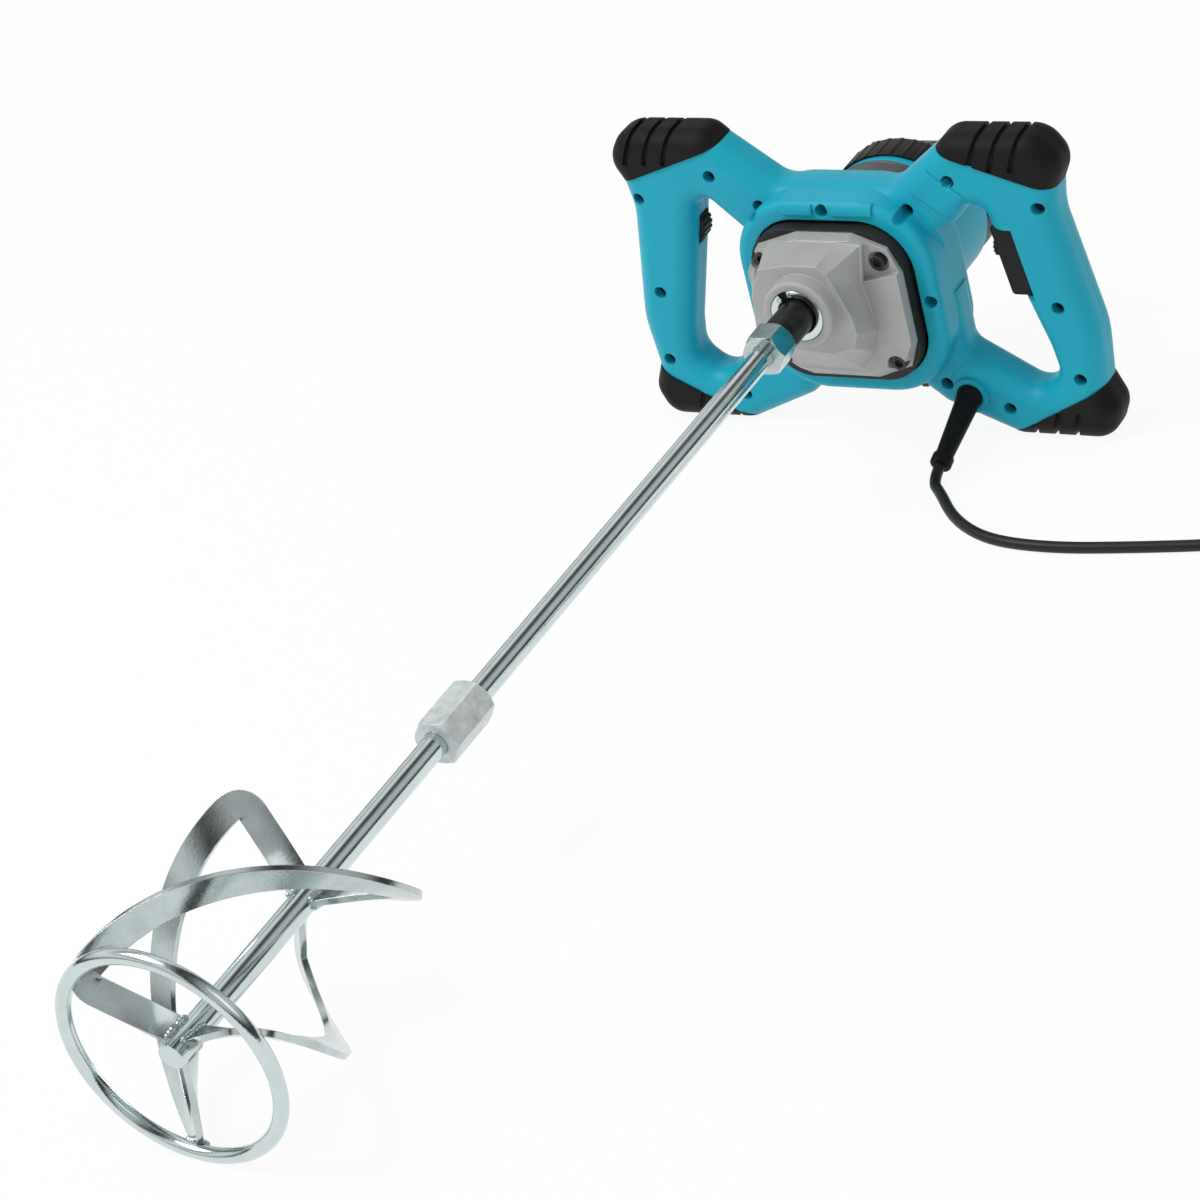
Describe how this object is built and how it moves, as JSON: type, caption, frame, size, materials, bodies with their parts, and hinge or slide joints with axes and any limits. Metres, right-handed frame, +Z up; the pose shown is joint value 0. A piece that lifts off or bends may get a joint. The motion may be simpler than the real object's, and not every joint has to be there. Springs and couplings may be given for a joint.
{
  "type": "mixing drill",
  "caption": "Electric mixing drill with side handles, corner bumpers, cast gear case, trigger and a long rod with a ring and spiral blade paddle, lying at rest with its cord coiled.",
  "frame": {"origin": "centre of the footprint of the tool without its cord, on the floor", "axes": "+Z up from the floor the tool lies on, +Y from the paddle towards the motor, +X towards the trigger"},
  "size_m": [0.5035, 0.8018, 0.1841],
  "materials": {
    "teal_plastic": "satin moulded plastic",
    "bumper_rubber": "matt moulded rubber",
    "black_plastic": "satin black plastic",
    "cast_alloy": "as cast, fine grain",
    "blackened_steel": "blackened, satin",
    "plated_steel": "bright zinc plating",
    "dark_screw": "black screw",
    "machine_steel": "machined",
    "lamination": "stacked sheet steel",
    "copper_wire": "enamelled winding",
    "carbon": "pressed carbon",
    "cord_rubber": "black rubber",
    "pin_brass": "bright"
  },
  "bodies": {
    "tool": {"front_shell": "teal_plastic", "switch_cover": "teal_plastic", "rear_shell": "teal_plastic", "motor_housing": "teal_plastic", "motor_end_cap": "black_plastic", "bumper_upper_left": "bumper_rubber", "bumper_upper_right": "bumper_rubber", "bumper_lower_left": "bumper_rubber", "bumper_lower_right": "bumper_rubber", "frame_screws": "dark_screw", "end_cap_screws": "dark_screw", "gear_case_screws": "dark_screw", "clamp_screws": "machine_steel", "cord_clamp": "black_plastic", "stator_core": "lamination", "field_coils": "copper_wire", "armature_bearings": "machine_steel", "carbon_brushes": "carbon", "brush_holders": "pin_brass", "brush_caps": "black_plastic", "gear_case": "cast_alloy", "gear_plate": "cast_alloy", "intermediate_bearings": "machine_steel", "spindle_bearings": "machine_steel", "spindle_seal": "cord_rubber", "switch_body": "black_plastic", "speed_module": "black_plastic", "cable_guard": "cord_rubber", "cord": "cord_rubber", "cord_coil": "cord_rubber", "cord_tie": "black_plastic", "plug": "cord_rubber", "plug_pins": "pin_brass"},
    "spindle_group": {"spindle": "blackened_steel", "spindle_gear": "machine_steel", "spindle_key": "machine_steel", "jam_nut": "plated_steel", "upper_rod": "plated_steel", "coupling_nut": "plated_steel", "lower_rod": "plated_steel", "blade_1": "plated_steel", "blade_2": "plated_steel", "blade_3": "plated_steel", "paddle_ring": "plated_steel"},
    "intermediate_group": {"intermediate_gear": "machine_steel", "intermediate_shaft": "machine_steel"},
    "armature_group": {"armature_shaft": "machine_steel", "armature_core": "lamination", "armature_windings": "copper_wire", "commutator": "copper_wire", "cooling_fan": "black_plastic"},
    "trigger_group": {"trigger": "black_plastic"},
    "trigger_dial_group": {"trigger_dial": "black_plastic"},
    "lock_group": {"lock_button": "black_plastic"},
    "speed_dial_group": {"speed_dial": "black_plastic"}
  },
  "joints": [
    {"name": "spindle_spin", "type": "hinge", "parent": "tool", "child": "spindle_group", "pos_m": [0, 0.27574, 0.10788], "axis": [0, 0.9971, 0.0761], "continuous": true},
    {"name": "intermediate_spin", "type": "hinge", "parent": "tool", "child": "intermediate_group", "pos_m": [0.0216, 0.27703, 0.09091], "axis": [0, 0.9971, 0.0761], "continuous": true},
    {"name": "armature_spin", "type": "hinge", "parent": "tool", "child": "armature_group", "pos_m": [0, 0.27703, 0.09093], "axis": [0, 0.9971, 0.0761], "continuous": true},
    {"name": "trigger_squeeze", "type": "slide", "parent": "tool", "child": "trigger_group", "axis": [1, 0, 0], "range_m": [0, 0.0045], "stiffness_N_per_m": 1500},
    {"name": "trigger_dial_turn", "type": "hinge", "parent": "trigger_group", "child": "trigger_dial_group", "pos_m": [0.08658, 0.28982, 0.11397], "axis": [1, 0, 0], "range_deg": [-135, 135]},
    {"name": "lock_press", "type": "slide", "parent": "tool", "child": "lock_group", "axis": [0, -0.9971, -0.0761], "range_m": [0, 0.003], "stiffness_N_per_m": 600},
    {"name": "speed_dial_turn", "type": "hinge", "parent": "tool", "child": "speed_dial_group", "pos_m": [-0.1025, 0.28913, 0.12294], "axis": [0, 0.9971, 0.0761], "range_deg": [-140, 140]}
  ],
  "couplings": [
    {"joint": "intermediate_spin", "follows": "spindle_spin", "ratio": -3.8889},
    {"joint": "armature_spin", "follows": "spindle_spin", "ratio": 19.444}
  ]
}
